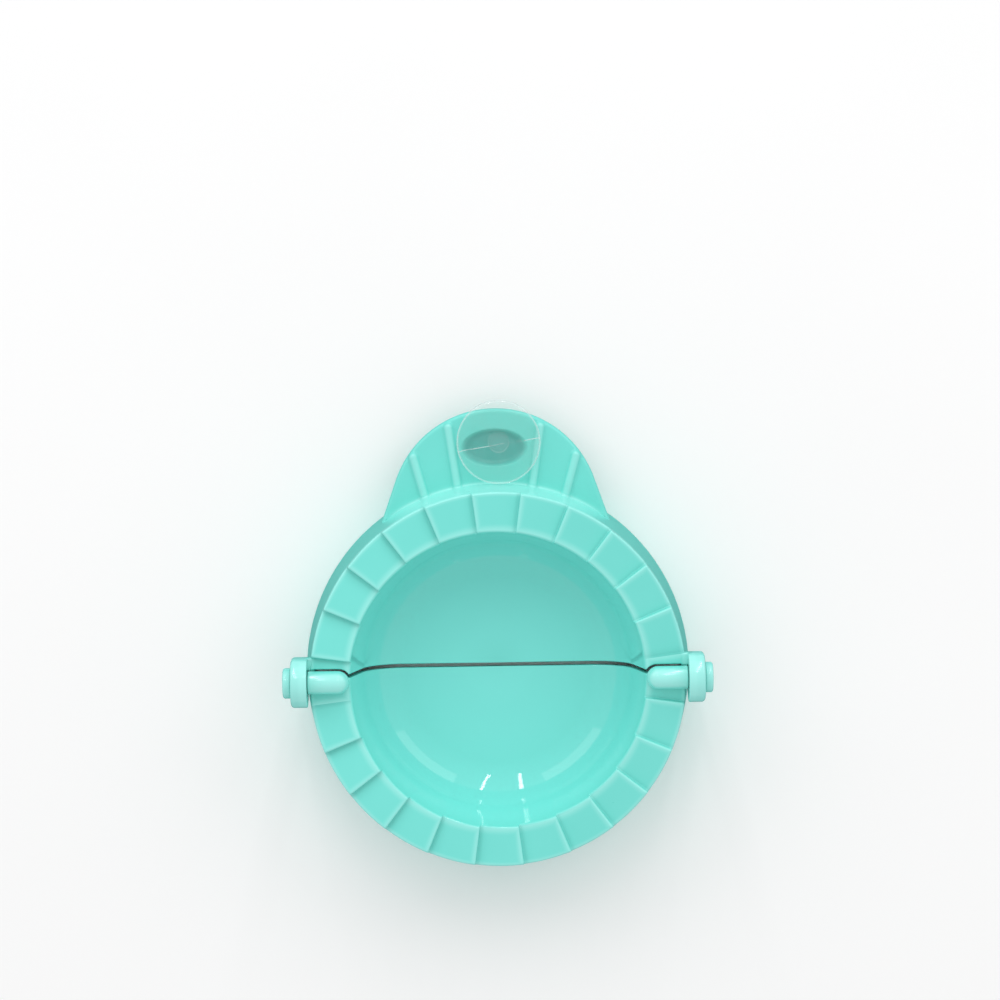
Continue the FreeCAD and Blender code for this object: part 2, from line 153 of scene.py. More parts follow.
class Graph:
    """A node tree that is filled in by expressions."""

    def __init__(self, tree):
        self.tree = tree

    def node(self, kind, settings=None, inputs=None, output=0):
        """Add a node: its settings first, then the values or links of its sockets."""
        made = self.tree.nodes.new(kind)
        for name, value in (settings or {}).items():
            setattr(made, name, value)
        for key, value in (inputs or {}).items():
            if isinstance(value, Wire):
                self.tree.links.new(value.socket, made.inputs[key])
            else:
                made.inputs[key].default_value = value
        return Wire(self, made.outputs[output])

    def math(self, operation, *values):
        return self.node("ShaderNodeMath", {"operation": operation}, dict(enumerate(values)))

    def length(self, x, y):
        """The length of a flat vector."""
        return self.math("SQRT", x * x + y * y)

    def clamp(self, value):
        """The value, held between 0 and 1."""
        return self.node("ShaderNodeClamp", None, {"Value": value})

    def pick(self, mask, yes, no):
        """The value yes where the mask is 1 and no where it is 0."""
        return no + mask * (yes - no)

    def split(self, vector):
        """The X, Y and Z of a vector."""
        x = self.node("ShaderNodeSeparateXYZ", None, {0: vector})
        return x, x.also("Y"), x.also("Z")

    def join(self, x, y, z):
        return self.node("ShaderNodeCombineXYZ", None, {0: x, 1: y, 2: z})


class Shape(Graph):
    """A Geometry Nodes tree with named inputs, run once and kept as a plain mesh."""

    def __init__(self, name):
        super().__init__(bpy.data.node_groups.new(name, "GeometryNodeTree"))
        self.values = {}
        self.add_socket("Geometry", "INPUT", "NodeSocketGeometry")
        self.add_socket("Geometry", "OUTPUT", "NodeSocketGeometry")
        self.entry = self.tree.nodes.new("NodeGroupInput")
        self.exit = self.tree.nodes.new("NodeGroupOutput")

    def add_socket(self, name, way, kind):
        return self.tree.interface.new_socket(name, in_out=way, socket_type=kind)

    def given(self, name, value, kind="NodeSocketFloat"):
        """Add a named input with its value."""
        self.values[self.add_socket(name, "INPUT", kind).identifier] = value
        return Wire(self, self.entry.outputs[name])

    def geometry(self):
        return Wire(self, self.entry.outputs["Geometry"])

    def points_of(self, item):
        """The bare points of an object that is given as an input."""
        return self.node("GeometryNodeObjectInfo", None, {"Object": item}, "Geometry")

    def size(self, geometry):
        """How many points a mesh has."""
        return self.node("GeometryNodeAttributeDomainSize", None, {"Geometry": geometry}, "Point Count")

    def sample(self, geometry, value, index, kind="FLOAT"):
        """A value of the point with that number."""
        settings = {"data_type": kind, "domain": "POINT"}
        inputs = {"Geometry": geometry, "Value": value, "Index": index}
        return self.node("GeometryNodeSampleIndex", settings, inputs)

    def sample_place(self, geometry, index):
        """The X, Y and Z of the point with that number."""
        position = self.node("GeometryNodeInputPosition")
        return self.split(self.sample(geometry, position, index, "FLOAT_VECTOR"))

    def sample_named(self, geometry, index, *names):
        """The named numbers of the point with that number."""
        for name in names:
            value = self.node("GeometryNodeInputNamedAttribute", {"data_type": "FLOAT"}, {"Name": name})
            yield self.sample(geometry, value, index)

    def grid(self, columns, rows):
        """A grid of points with the column and row number of each."""
        mesh = self.node("GeometryNodeMeshGrid", None, {"Vertices X": columns, "Vertices Y": rows})
        index = self.node("GeometryNodeInputIndex")
        column = self.math("FLOOR", (index + 0.5) / rows)
        return mesh, column, index - column * rows

    def place(self, mesh, x, y, z):
        return self.node("GeometryNodeSetPosition", None, {"Geometry": mesh, "Position": self.join(x, y, z)})

    def finish(self, mesh, material, weld):
        merged = self.node("GeometryNodeMergeByDistance", None, {"Geometry": mesh, "Distance": weld})
        smooth = self.node("GeometryNodeSetShadeSmooth", None, {"Geometry": merged})
        real = self.node("GeometryNodeRealizeInstances", None, {"Geometry": smooth})
        done = self.node("GeometryNodeSetMaterial", None, {"Geometry": real, "Material": material})
        self.tree.links.new(done.socket, self.exit.inputs["Geometry"])

    def mesh(self, base):
        """Run the tree on a base object and return the result as a mesh."""
        modifier = base.modifiers.new("shape", "NODES")
        modifier.node_group = self.tree
        for identifier, value in self.values.items():
            modifier[identifier] = value
        seen = base.evaluated_get(bpy.context.evaluated_depsgraph_get())
        mesh = bpy.data.meshes.new_from_object(seen)
        base.modifiers.remove(modifier)
        # A grid brings an empty slot of its own, so only the slot with the material is kept.
        material = next(slot for slot in mesh.materials if slot)
        mesh.materials.clear()
        mesh.materials.append(material)
        return mesh


def add_object(name, data):
    item = bpy.data.objects.new(name, data)
    bpy.context.scene.collection.objects.link(item)
    return item


def points_object(name, points, **attributes):
    """Bare points that feed a tree, with a number or more on each."""
    mesh = bpy.data.meshes.new(name)
    mesh.from_pydata(points, [], [])
    for key, values in attributes.items():
        mesh.attributes.new(key, "FLOAT", "POINT").data.foreach_set("value", values)
    return add_object(name, mesh)


def drop(*items):
    for item in items:
        bpy.data.objects.remove(item)


def arc_steps(start, end, steps):
    return [start + (end - start) * step / steps for step in range(steps + 1)]


def quarter(radius, steps):
    """A rounded edge from its face to its side, as steps of (in from the side, in from the face)."""
    turns = arc_steps(0.0, math.pi / 2, steps)
    return [(radius * (1 - math.sin(turn)), radius * (1 - math.cos(turn))) for turn in turns]


def corner(x, y, radius=0.0, steps=0, lift=0.0):
    """One corner of an outline: its place, its rounding and how far it follows the teeth."""
    return Vector((x, y)), radius, steps, lift


def soften(corners):
    """Round the corners of an open outline. Its points are (place, lift)."""
    points = []
    for index, (here, radius, steps, lift) in enumerate(corners):
        if not radius:
            points.append((here, lift))
            continue
        back = (corners[index - 1][0] - here).normalized()
        ahead = (corners[index + 1][0] - here).normalized()
        half = math.acos(max(-1.0, min(1.0, back.dot(ahead)))) / 2
        centre = here + (back + ahead).normalized() * (radius / math.sin(half))
        first = here + back * (radius / math.tan(half)) - centre
        last = here + ahead * (radius / math.tan(half)) - centre
        sweep = math.atan2(first.x * last.y - first.y * last.x, first.dot(last))
        for turn in arc_steps(0.0, sweep, steps):
            points.append((centre + Matrix.Rotation(turn, 2) @ first, lift))
    return points


def soft_places(corners):
    return [place for place, lift in soften(corners)]


def bowl_radius_at(z):
    return BOWL + z * LEAN


def skirt_radius_at(z):
    return RING - z * FLARE_RATE


def split_at(split, radius):
    """Where the split lies at a radius: the half with the handle steps back round the barrels."""
    if split < 0 or radius < BARREL_CENTRE - RELIEF:
        return split
    run = min(radius - BARREL_CENTRE, 0.0)
    return max(split, math.sqrt(max(RELIEF ** 2 - run ** 2, 0.0)))


def shell_corners():
    """Half section of bowl, ring and skirt, from the bowl's floor round to its back. Rows between the corners
    keep the faces small where the split or the teeth bend them."""
    back = WALL / math.cos(DRAFT)
    under = -DEPTH - WALL
    floor_row, bowl_row, rim_row = 9.0, -6.0, -0.8
    edge_row, foot_row, sill = -0.9, -20.6, 0.22
    skirt_corner, bowl_corner = 0.8, 0.4
    relief_rows = [BARREL_CENTRE - run for run in (1.7, 1.4, 1.0, 0.5, 0.05)]
    face_rows = (BOWL + RIM_REACH + sill, *relief_rows, 37.5, 39.5, RING - RING_REACH - sill)
    outer_rows = (TOOTH_FOOT, -8.0, -15.0, foot_row)
    inner_rows = (foot_row, -12.0)
    back_rows = (38.0, *reversed(relief_rows[3:]))
    return [
        corner(0.0, -DEPTH),
        corner(floor_row, -DEPTH),
        corner(bowl_radius_at(-DEPTH), -DEPTH, CORNER, 22),
        *(corner(bowl_radius_at(row), row) for row in (bowl_row, TOOTH_FOOT)),
        corner(bowl_radius_at(rim_row), rim_row, lift=1.0),
        corner(BOWL, 0.0, RIM_ROUND, 8, 1.0),
        *(corner(row, 0.0, lift=1.0) for row in face_rows),
        corner(RING, 0.0, RING_ROUND, 8, 1.0),
        corner(skirt_radius_at(edge_row), edge_row, lift=1.0),
        *(corner(skirt_radius_at(row), row) for row in outer_rows),
        corner(RING + FLARE, -SKIRT, SKIRT_ROUND, 5),
        corner(RING + FLARE - WALL, -SKIRT, SKIRT_ROUND, 5),
        *(corner(skirt_radius_at(row) - WALL, row) for row in inner_rows),
        corner(skirt_radius_at(-RING_WALL) - WALL, -RING_WALL, skirt_corner, 6),
        *(corner(row, -RING_WALL) for row in back_rows),
        corner(bowl_radius_at(-RING_WALL) + back, -RING_WALL, bowl_corner, 5),
        corner(bowl_radius_at(bowl_row) + back, bowl_row),
        corner(bowl_radius_at(under) + back, under, CORNER + WALL, 18),
        corner(floor_row, under),
        corner(0.0, under),
    ]


def shell_section(split):
    """The half section as bare points. Each carries what moves it: how far it lifts with the teeth, how it
    leans, where its split lies and its outward normal."""
    places, lifts = zip(*soften(shell_corners()))
    normals = []
    for index in range(len(places)):
        along = (places[min(index + 1, len(places) - 1)] - places[max(index - 1, 0)]).normalized()
        normals.append(Vector((-along.y, along.x)))
    shares = [(max(BOWL, min(RING, place.x)) - BOWL) / (RING - BOWL) for place in places]
    return points_object(
        "shell_section", [(place.x, 0.0, place.y) for place in places],
        lift=lifts, lean=[LEAN - share * (FLARE_RATE + LEAN) for share in shares],
        split=[split_at(split, place.x) for place in places],
        out_r=[normal.x for normal in normals], out_z=[normal.y for normal in normals])


def tooth_outline():
    """One tooth boundary as bare points of angle and height: a facet climbs, drops at a steep rounded wall
    and the next facet starts. The second value is the angle at which the wall's rounding ends."""
    side = RING * math.tan(HALF_PITCH)
    climb = STEP / (2 * side)
    facet = math.atan(climb)
    run = STEP / 2 / (math.tan(TOOTH_SLOPE) + climb)
    rise = run * math.tan(TOOTH_SLOPE)
    reach = TOOTH_ROUND * math.tan((TOOTH_SLOPE + facet) / 2)
    sill, facet_rows = 0.25, (1.0, 0.72, 0.45)
    before = [(-side * share, side * (1 - share) * climb) for share in facet_rows]
    before.append((-run - (reach + sill) * math.cos(facet), rise - (reach + sill) * math.sin(facet)))
    after = [(-x, -y) for x, y in reversed(before[1:])]
    wall = [corner(-run, rise, TOOTH_ROUND, 6), corner(run, -rise, TOOTH_ROUND, 6)]
    corners = [*(corner(*place) for place in before), *wall, *(corner(*place) for place in after)]
    points = [(math.atan(place.x / RING), 0.0, place.y) for place in soft_places(corners)]
    return points_object("tooth_outline", points), math.atan((run + reach) / RING)


def split_turn(shape, angle, edge, soft, outer):
    """Columns outside the half close up on the split and share out its rounded edge: the angle that each
    point moves to and how deep it sinks there."""
    gather = math.radians(-8.0)
    first = shape.math("ARCSINE", (edge + soft) / outer)
    inward = shape.math("MINIMUM", angle, math.pi - angle)
    clear = soft * shape.clamp((inward - gather) / (first - gather))
    turn = shape.math("MAXIMUM", inward, shape.math("ARCSINE", (edge + clear) / outer))
    far = shape.math("GREATER_THAN", angle, math.pi / 2)
    sink = soft - shape.math("SQRT", soft * soft - (soft - clear) * (soft - clear))
    return shape.pick(far, math.pi - turn, turn), sink


def tooth_height(shape, height, angle, turn, lead, step, land_end):
    """Height of the teeth: flat land beside the first boundary, and the last facet runs on to the split."""
    tail = math.pi - math.radians(6.0)
    last = shape.math("TANGENT", turn - math.pi + lead) / math.tan(HALF_PITCH) * step / 2
    height = shape.pick(shape.math("GREATER_THAN", angle, tail), last, height)
    return shape.pick(shape.math("LESS_THAN", angle, land_end), step / -2, height)


def shell_mesh(split, material):
    """Bowl, toothed ring and skirt of one half, with a soft edge along the split."""
    section = shell_section(split)
    tooth, root = tooth_outline()
    shape = Shape("mould_half")
    rim = shape.points_of(shape.given("Tooth", tooth, "NodeSocketObject"))
    teeth = shape.given("Teeth", TEETH, "NodeSocketInt")
    ring = shape.given("Ring Radius", RING)
    floor_end = bowl_radius_at(-DEPTH) - CORNER * math.tan((math.pi / 2 - DRAFT) / 2)
    floor = shape.given("Floor Radius", floor_end)
    step = shape.given("Tooth Step", STEP)
    face_drop = shape.given("Face Drop", FACE_DROP)
    soft = shape.given("Split Round", SPLIT_ROUND)
    centre = shape.given("Split", split)
    lead = shape.given("Tooth Lead", TOOTH_LEAD)
    land_end = shape.given("Land End", HALF_PITCH - TOOTH_LEAD + root)
    weld = shape.given("Weld", SHELL_WELD)
    finish = shape.given("Material", material, "NodeSocketMaterial")

    per_tooth = shape.size(rim)
    spare_teeth = 2
    profile = shape.geometry()
    mesh, column, row = shape.grid((teeth / 2 + spare_teeth) * per_tooth, shape.size(profile))
    boundary = shape.math("FLOOR", (column + 0.5) / per_tooth)
    lie, _, height = shape.sample_place(rim, column - boundary * per_tooth)
    angle = (boundary - 0.5) * (2 * math.pi / teeth) + lie - lead
    radius, _, level = shape.sample_place(profile, row)
    lift, lean, edge, out_r, out_z = shape.sample_named(
        profile, row, "lift", "lean", "split", "out_r", "out_z")

    turn, sink = split_turn(shape, angle, edge, soft, shape.math("MAXIMUM", radius, floor))
    height = tooth_height(shape, height, angle, turn, lead, step, land_end) * radius / ring - face_drop
    bent = radius + lift * lean * height - out_r * sink
    raised = level + lift * height - out_z * sink

    # Inside the floor's radius the columns close up like a fan on the middle of the split.
    fan = shape.math("MINIMUM", radius / floor, 1.0)
    spoke = shape.math("MAXIMUM", bent, floor)
    x = fan * spoke * shape.math("COSINE", turn)
    y = centre + fan * (spoke * shape.math("SINE", turn) - centre)
    shape.finish(shape.place(mesh, x, y, raised), finish, weld)
    result = shape.mesh(section)
    drop(section, tooth)
    return close_split(result)


def close_split(mesh):
    """Close the open split of a half with a face that follows its outline."""
    tolerance = 1e-7
    bm = bmesh.new()
    bm.from_mesh(mesh)
    edges = [edge for edge in bm.edges if edge.is_boundary]
    links = {}
    for edge in edges:
        for vertex in edge.verts:
            links.setdefault(vertex, []).append(edge)
    loop = list(edges[0].verts)
    used = {edges[0]}
    while True:
        following = [edge for edge in links[loop[-1]] if edge not in used]
        if not following:
            break
        used.add(following[0])
        loop.append(following[0].other_vert(loop[-1]))
    loop = loop[:-1] if loop[-1] == loop[0] else loop
    flat = [Vector((vertex.co.x, vertex.co.z)) for vertex in loop]
    made = delaunay_2d_cdt(flat, [], [list(range(len(loop)))], 1, tolerance)
    origin = [source[0] for source in made[3]]
    for face in made[2]:
        bm.faces.new([loop[origin[point]] for point in face]).smooth = True
    bmesh.ops.recalc_face_normals(bm, faces=bm.faces)
    bm.to_mesh(mesh)
    bm.free()
    return mesh


def plate_mesh(name, outline, section, material, relief=None):
    """A section carried round an outline. An outline point is (place, outward normal, inner place). A section
    point is (share, inset, level, top): how far out from the inner place, how far in from the outline and how
    high. The relief adds its height to the points on top."""
    places, outs, cores = zip(*outline)
    rim = points_object("outline", [(*place, 0.0) for place in places],
                        out_x=[out.x for out in outs], out_y=[out.y for out in outs],
                        core_x=[core.x for core in cores], core_y=[core.y for core in cores])
    base = points_object("section", [point[:3] for point in section], top=[point[3] for point in section])
    shape = Shape(name)
    loop = shape.points_of(shape.given("Outline", rim, "NodeSocketObject"))
    weld = shape.given("Weld", PLATE_WELD)
    finish = shape.given("Material", material, "NodeSocketMaterial")
    profile = shape.geometry()
    mesh, column, row = shape.grid(shape.size(loop), shape.size(profile))
    edge_x, edge_y, _ = shape.sample_place(loop, column)
    out_x, out_y, core_x, core_y = shape.sample_named(loop, column, "out_x", "out_y", "core_x", "core_y")
    share, inset, level = shape.sample_place(profile, row)
    x = core_x + share * (edge_x - out_x * inset - core_x)
    y = core_y + share * (edge_y - out_y * inset - core_y)
    if relief:
        top, = shape.sample_named(profile, row, "top")
        level = level + top * relief(shape, x, y)
    shape.finish(shape.place(mesh, x, y, level), finish, weld)
    result = shape.mesh(base)
    drop(base, rim)
    bm = bmesh.new()
    bm.from_mesh(result)
    bmesh.ops.holes_fill(bm, edges=[edge for edge in bm.edges if edge.is_boundary])
    bmesh.ops.recalc_face_normals(bm, faces=bm.faces)
    bm.to_mesh(result)
    bm.free()
    return result


def turned_mesh(name, profile, material, steps=64):
    """A profile of (radius, level) turned about the Z axis."""
    middle = Vector((0.0, 0.0))
    spokes = [Vector((math.cos(turn), math.sin(turn))) for turn in arc_steps(0.0, 2 * math.pi, steps)]
    outline = [(middle, spoke, middle) for spoke in spokes]
    return plate_mesh(name, outline, [(1.0, -radius, level, 0.0) for radius, level in profile], material)


def moved(mesh, matrix):
    mesh.transform(matrix)
    return mesh


def along_hinge(mesh, side=1):
    """Turn a mesh from the Z axis to the hinge, on the right for a side of 1 and on the left for -1."""
    return moved(mesh, Matrix.Rotation(side * math.pi / 2, 4, "Y"))


def with_mirror(mesh):
    """Add the mirror image of a mesh on the other side of the hinge's middle."""
    bm = bmesh.new()
    bm.from_mesh(mesh)
    copy = bmesh.ops.duplicate(bm, geom=bm.verts[:] + bm.edges[:] + bm.faces[:])["geom"]
    for vertex in (item for item in copy if isinstance(item, bmesh.types.BMVert)):
        vertex.co.x = -vertex.co.x
    bmesh.ops.reverse_faces(bm, faces=[item for item in copy if isinstance(item, bmesh.types.BMFace)])
    bm.to_mesh(mesh)
    bm.free()
    return mesh


def joined(first, *others):
    """Put several meshes of one material in the first."""
    bm = bmesh.new()
    for mesh in (first, *others):
        bm.from_mesh(mesh)
    bm.to_mesh(first)
    bm.free()
    return first


def tab_edge_at(angle):
    """The tab's outline in one direction from the ribs' focus: place and outward normal."""
    lead = TAB_CENTRE + RIB_FOCUS
    shoulder = math.atan2(TAB_RADIUS * math.cos(TAB_SLANT), lead + TAB_RADIUS * math.sin(TAB_SLANT))
    if abs(angle) < shoulder:
        reach = lead * math.cos(angle) + math.sqrt(TAB_RADIUS ** 2 - (lead * math.sin(angle)) ** 2)
        place = Vector((reach * math.sin(angle), reach * math.cos(angle) - RIB_FOCUS))
        return place, (place - Vector((0.0, TAB_CENTRE))) / TAB_RADIUS
    out = Vector((math.copysign(math.cos(TAB_SLANT), angle), math.sin(TAB_SLANT)))
    way = Vector((math.sin(angle), math.cos(angle)))
    reach = (TAB_RADIUS + out.y * lead) / out.dot(way)
    return way * reach - Vector((0.0, RIB_FOCUS)), out


def wall_point(angle, radius):
    """Where a line from the ribs' focus meets a circle about the mould's axis."""
    reach = RIB_FOCUS * math.cos(angle) + math.sqrt(radius ** 2 - (RIB_FOCUS * math.sin(angle)) ** 2)
    return Vector((reach * math.sin(angle), reach * math.cos(angle) - RIB_FOCUS))


def recess_reach(graph, x, y):
    """0 in the middle of the oval recess and 1 at its edge."""
    return graph.length(x / (RECESS_LENGTH / 2), (y - RECESS_PLACE) / (RECESS_WIDTH / 2))


def tab_relief(shape, x, y):
    """Height on the tab's top: four ribs with a soft foot, the oval recess and a fillet at the skirt that
    runs out before the tab's tips."""
    foot, brim, overlap, tip, run_out = 0.3, 0.35, 0.02, 25.0, 4.0
    side = shape.math("ABSOLUTE", x)
    away = y + RIB_FOCUS
    height = 0.0
    for angle, reach in RIBS:
        end = (RIB_FOCUS + reach) / math.cos(angle) - RIB_WIDTH / 2
        across = side * math.cos(angle) - away * math.sin(angle)
        over = shape.math("MAXIMUM", side * math.sin(angle) + away * math.cos(angle) - end, 0.0)
        room = shape.math("MAXIMUM", RIB_RADIUS ** 2 - across * across - over * over, 0.0)
        rib = shape.math("SQRT", room) - (RIB_RADIUS - RIB_HEIGHT)
        height = shape.math("SMOOTH_MAX", height, rib, foot)
    sunk = shape.clamp((1.0 - recess_reach(shape, x, y)) / brim)
    height = height - RECESS_DEPTH * sunk * (2.0 - sunk)
    off = shape.length(x, y) - skirt_radius_at(TAB_FILLET - TAB_DROP) + overlap
    off = shape.clamp(off / TAB_FILLET)
    fade = shape.clamp((tip - side) / run_out)
    return height + TAB_FILLET * fade * (1.0 - shape.math("SQRT", off * (2.0 - off)))


def tab_mesh(material):
    """The finger tab: a fan of lines from the skirt's wall to the outline, with a rounded edge."""
    spread, columns, rows, steps, crowd = math.radians(27.0), 270, 120, 8, 0.4
    bury, under_rows = WALL / 6, (0.8, 0.4, 0.0)
    inside = skirt_radius_at(-TAB_DROP) - bury
    outline = [(*tab_edge_at(turn), wall_point(turn, inside)) for turn in arc_steps(-spread, spread, columns)]
    shares = [share * (crowd + (1 - crowd) * share) for share in arc_steps(0.0, 1.0, rows)]
    low = -TAB_DROP - TAB_THICK
    section = [(share, TAB_ROUND, -TAB_DROP, 1.0) for share in shares[:-1]]
    section += [(1.0, side, -TAB_DROP - face, 1.0) for side, face in quarter(TAB_ROUND, steps)]
    section += [(1.0, side, low + face, 0.0) for side, face in reversed(quarter(TAB_ROUND, steps))]
    section += [(share, TAB_ROUND, low, 0.0) for share in under_rows]
    return plate_mesh("finger_tab", outline, section + section[:1], material, tab_relief)


def eye_outline():
    """Outline of a hinge eye in the plane square to the hinge: a circle with a rounded lug towards the half.
    Its X is down and its Y points away from the hinge."""
    lug = ((RELIEF, RELIEF), EYE_RADIUS - RELIEF, 0.0, math.pi / 2, 10)
    ring = ((0.0, 0.0), EYE_RADIUS, math.pi / 2, 2 * math.pi, 44)
    outline = []
    for centre, radius, start, end, steps in (lug, ring):
        for turn in arc_steps(start, end, steps):
            out = Vector((math.cos(turn), math.sin(turn)))
            outline.append((Vector(centre) + out * radius, out, out * EYE_BORE))
    return outline + outline[:1]


def eye_mesh(material):
    """A hinge eye on the right, with its pin's bore."""
    inner, outer = 0.2, 0.8
    section = [(0.0, 0.0, EYE_FACE, 0.0)]
    section += [(1.0, side, EYE_FACE + face, 0.0) for side, face in quarter(inner, 5)]
    section += [(1.0, side, EYE_END - face, 0.0) for side, face in reversed(quarter(outer, 8))]
    section += [(0.0, 0.0, EYE_END, 0.0), (0.0, 0.0, EYE_FACE, 0.0)]
    return along_hinge(plate_mesh("hinge_eye", eye_outline(), section, material))


def web_mesh(material):
    """The short web that ties the right eye's lug to the skirt."""
    skin, tuck, guard, inset, rounds = 0.05, 0.22, 0.1, 1.2, (0.3, 0.3, 2.0, 0.5)
    top, low = WEB_DROP, EYE_RADIUS - skin
    near, far = RELIEF - tuck, EYE_RADIUS - skin
    middle = Vector(((top + low) / 2, (near + far) / 2))
    places = ((top, near), (low, near), (low, far), (top, far))
    corners = [corner(*place, radius, 6) for place, radius in zip(places, rounds)]
    points = soft_places([corner(*places[-1]), *corners, corner(*places[0])])[1:-1]
    outline = []
    for index, place in enumerate(points):
        along = points[(index + 1) % len(points)] - points[index - 1]
        outline.append((place, Vector((along.y, -along.x)).normalized(), middle))
    start, end = RING - WALL / 2, EYE_END - inset
    levels = (start, start + guard, end - guard, end)
    section = [(0.0, 0.0, start, 0.0), *((1.0, 0.0, level, 0.0) for level in levels), (0.0, 0.0, end, 0.0)]
    return along_hinge(plate_mesh("hinge_web", outline + outline[:1], section, material))


def barrel_mesh(material):
    """The right hinge barrel, round at its tip and bored for its pin."""
    bottom = PIN_TIP - PIN_ROOM
    profile = [(BARREL_RADIUS - side, BARREL_TIP + face) for side, face in quarter(BARREL_RADIUS, 16)]
    profile += [(BARREL_RADIUS - side, BARREL_END - face) for side, face in reversed(quarter(BARREL_BRIM, 5))]
    profile += [(PIN_RADIUS, BARREL_END), (PIN_RADIUS, bottom), (0.0, bottom)]
    return along_hinge(turned_mesh("hinge_barrel", profile, material))


def pin_mesh(material, side):
    """A headed hinge pin, on the right for a side of 1 and on the left for -1."""
    tip_round, brim, head_round = 0.3, 0.25, 0.6
    profile = soft_places([
        corner(0.0, PIN_TIP), corner(PIN_RADIUS, PIN_TIP, tip_round, 4), corner(PIN_RADIUS, PIN_HEAD),
        corner(HEAD_RADIUS, PIN_HEAD, brim, 4), corner(HEAD_RADIUS, PIN_END, head_round, 8),
        corner(0.0, PIN_END)])
    return along_hinge(turned_mesh("hinge_pin", profile, material), side)


def wall_rib_meshes(material):
    """Low flat ribs that carry the tab's right ribs up the skirt's wall to the ring."""
    radius, depth, proud, top, root, guard = 1.6, 0.8, 0.16, -1.4, -1.2, 0.2
    length = TAB_DROP + top
    profile = [(0.0, root), (radius, root), (radius, root + guard)]
    profile += [(radius - side, length - face) for side, face in reversed(quarter(radius, 8))]
    flat = Matrix.Diagonal((depth / radius, 1.0, 1.0, 1.0))
    lean = Matrix.Rotation(-math.atan(FLARE_RATE), 4, "Y")
    for angle, _ in RIBS:
        place = wall_point(angle, skirt_radius_at(-TAB_DROP) - depth + proud)
        turn = Matrix.Rotation(math.atan2(place.y, place.x), 4, "Z")
        spot = Matrix.Translation((place.x, place.y, -TAB_DROP))
        yield moved(turned_mesh("wall_rib", profile, material, 40), spot @ turn @ lean @ flat)


def stud_mesh(material):
    """The clear stud: a low domed disc with a soft rim, on its stem."""
    stem_round, neck, low_rim, top_rim = 0.3, 0.5, 0.35, 0.4
    dome_rows = (8.6, 7.0, 5.0, 3.0, 1.5, 0.0)
    dome = [(row, STUD_THICK + STUD_DOME * (1 - (row / STUD_RADIUS) ** 2)) for row in dome_rows]
    profile = soft_places([
        corner(0.0, -STEM_LENGTH), corner(STEM_RADIUS, -STEM_LENGTH, stem_round, 4),
        corner(STEM_RADIUS, 0.0, neck, 5), corner(STUD_RADIUS, 0.0, low_rim, 5),
        corner(STUD_RADIUS, STUD_THICK, top_rim, 6), *(corner(*place) for place in dome)])
    return moved(turned_mesh("stud", profile, material, 96), Matrix.Translation(STUD_PLACE))


def show(node, mesh, body, turn=0.0):
    """Put a mesh, drawn in millimetres in its half's frame, in place of a CAD node and tie it to its body."""
    mesh.transform(Matrix.Scale(MM, 4) @ Matrix.Translation(HINGE) @ Matrix.Rotation(turn, 4, "Z"))
    mesh.name = f"{node}_soft"
    piece = add_object(mesh.name, mesh)
    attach(piece, body)
    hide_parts(node)


class Finish(Graph):
    """A material's node tree, with the place on the part in millimetres to start from."""

    def __init__(self, name):
        self.material = bpy.data.materials.new(name)
        self.material.use_nodes = True
        super().__init__(self.material.node_tree)
        self.shader = self.tree.nodes["Principled BSDF"]
        self.place = self.node("ShaderNodeTexCoord", output="Object")
        self.x, self.y, self.z = (axis / MM for axis in self.split(self.place))

    def noise(self, scale, detail=2.0):
        """Cloudy noise of about 0 to 1, with its scale in cycles to a metre."""
        return self.node("ShaderNodeTexNoise", None, {"Vector": self.place, "Scale": scale, "Detail": detail})

    def between(self, value, low, high):
        """0 below the low value and 1 above the high one, with a soft passage."""
        return self.node("ShaderNodeMapRange", {"interpolation_type": "SMOOTHSTEP"},
                         {"Value": value, "From Min": low, "From Max": high})

    def most(self, first, *others):
        """The greatest of several values."""
        for other in others:
            first = self.math("MAXIMUM", first, other)
        return first

    def blend(self, share, first, second):
        """Mix two colours."""
        return self.node("ShaderNodeMix", {"data_type": "RGBA"}, {0: share, 6: first, 7: second}, 2)

    def set(self, **inputs):
        """Feed the shader's sockets. An underscore in a name stands for a space."""
        for name, value in inputs.items():
            socket = self.shader.inputs[name.replace("_", " ")]
            if isinstance(value, Wire):
                self.tree.links.new(value.socket, socket)
            else:
                socket.default_value = value


# Where the mint's painted light and shade and its polish pass into each other, as radii, heights over the
# hinge or shares of a tooth or the oval. WALL_FRONT is a distance from the hinge and OVAL_FLOOR a height over
# the floor of the recess.
BOWL_END = (BOWL - 1.5, BOWL + 0.3)
POLISH_END = (BOWL - 0.6, BOWL + 0.6)
RING_START, RING_LEVEL = (BOWL - 0.2, BOWL + 0.4), (-2.6, -1.4)
INNER_EDGE, OUTER_EDGE = (BOWL + 0.3, BOWL + 2.0), (RING - 1.1, RING)
TOOTH_START, TOOTH_CREST = (0.0, 0.13), (0.84, 1.0)
HINGE_LEVEL = (0.7, 2.2)
WALL_START, WALL_END, WALL_FRONT = (RING, RING + 0.3), (RING + 1.2, RING + 2.2), (35.0, 39.5)
TAB_START = (RING + 1.8, RING + 2.8)
RIB_START, RIB_LEVEL = (RING + 1.4, RING + 2.0), (0.25 - TAB_DROP, RIB_HEIGHT - TAB_DROP)
OVAL_EDGE, OVAL_FLOOR = (0.8, 1.06), (-0.5, -0.2)
